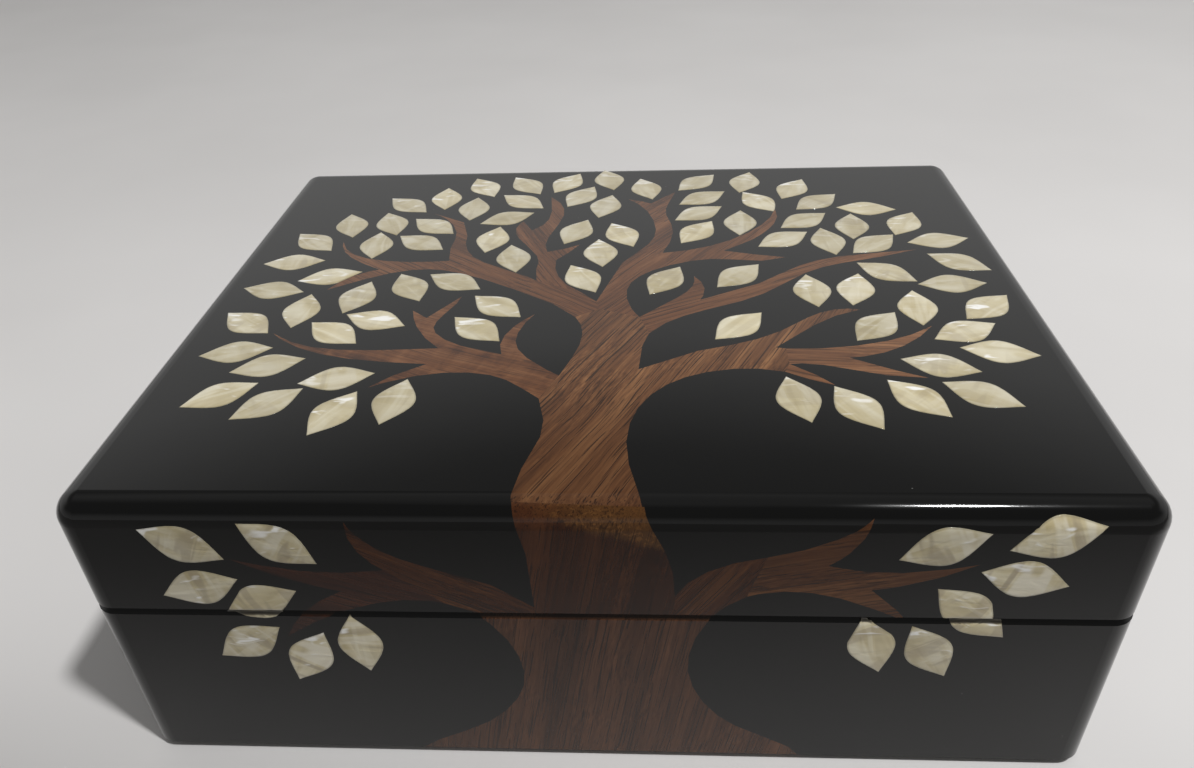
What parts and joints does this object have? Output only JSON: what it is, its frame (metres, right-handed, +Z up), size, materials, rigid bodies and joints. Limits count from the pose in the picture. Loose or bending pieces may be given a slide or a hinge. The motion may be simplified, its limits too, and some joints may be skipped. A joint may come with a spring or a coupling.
{
  "type": "inlaid wooden box",
  "caption": "Low rectangular keepsake box with a hinged lid, a polished black ground and a tree inlaid in wood and mother-of-pearl over the lid and front, lined with velvet.",
  "frame": {"origin": "middle of the felt underside, on the surface that the box stands on", "axes": "+X to the box's right along its front, +Y from front to back, +Z up"},
  "size_m": [0.25, 0.2, 0.088],
  "materials": {
    "carcass_wood": "sanded close-grained hardwood",
    "black_ground": "polished black resin",
    "light_inlay_wood": "lacquered walnut, warm brown",
    "figured_inlay_wood": "lacquered figured walnut",
    "dark_inlay_wood": "lacquered dark reddish walnut",
    "shell": "polished mother-of-pearl",
    "brass": "satin brass",
    "velvet": "deep red velvet on card",
    "felt": "thin dark felt"
  },
  "bodies": {
    "base": {"base_floor": "carcass_wood", "base_front_wall": "carcass_wood", "base_right_wall": "carcass_wood", "base_back_wall": "carcass_wood", "base_left_wall": "carcass_wood", "base_ground": "black_ground", "base_trunk": "dark_inlay_wood", "base_twig_left": "dark_inlay_wood", "base_leaves": "shell", "hinge_left_base_leaf": "brass", "hinge_left_pin": "brass", "hinge_right_base_leaf": "brass", "hinge_right_pin": "brass", "base_hinge_nails": "brass", "base_front_lining": "velvet", "base_back_lining": "velvet", "base_left_lining": "velvet", "base_right_lining": "velvet", "base_pad": "velvet", "base_felt": "felt"},
    "lid": {"lid_panel": "carcass_wood", "lid_front_wall": "carcass_wood", "lid_right_wall": "carcass_wood", "lid_back_wall": "carcass_wood", "lid_left_wall": "carcass_wood", "lid_ground": "black_ground", "lid_trunk": "light_inlay_wood", "lid_limb_left_high": "light_inlay_wood", "lid_limb_crown_left": "light_inlay_wood", "lid_limb_crown_right": "light_inlay_wood", "lid_limb_right_mid": "light_inlay_wood", "lid_twig_right_outer": "light_inlay_wood", "lid_twig_right_low": "light_inlay_wood", "lid_limb_left_low": "figured_inlay_wood", "lid_trunk_front": "dark_inlay_wood", "lid_limb_front_left": "dark_inlay_wood", "lid_twig_front_left": "dark_inlay_wood", "lid_limb_front_right": "dark_inlay_wood", "lid_twig_front_right": "dark_inlay_wood", "lid_leaves_top": "shell", "lid_leaves_front": "shell", "hinge_left_lid_leaf": "brass", "hinge_right_lid_leaf": "brass", "lid_hinge_nails": "brass", "lid_front_lining": "velvet", "lid_back_lining": "velvet", "lid_left_lining": "velvet", "lid_right_lining": "velvet", "lid_pad": "velvet"}
  },
  "joints": [
    {"name": "lid_hinge", "type": "hinge", "parent": "base", "child": "lid", "pos_m": [0, 0.0955, 0.055], "axis": [-1, 0, 0], "range_deg": [0, 98]}
  ]
}
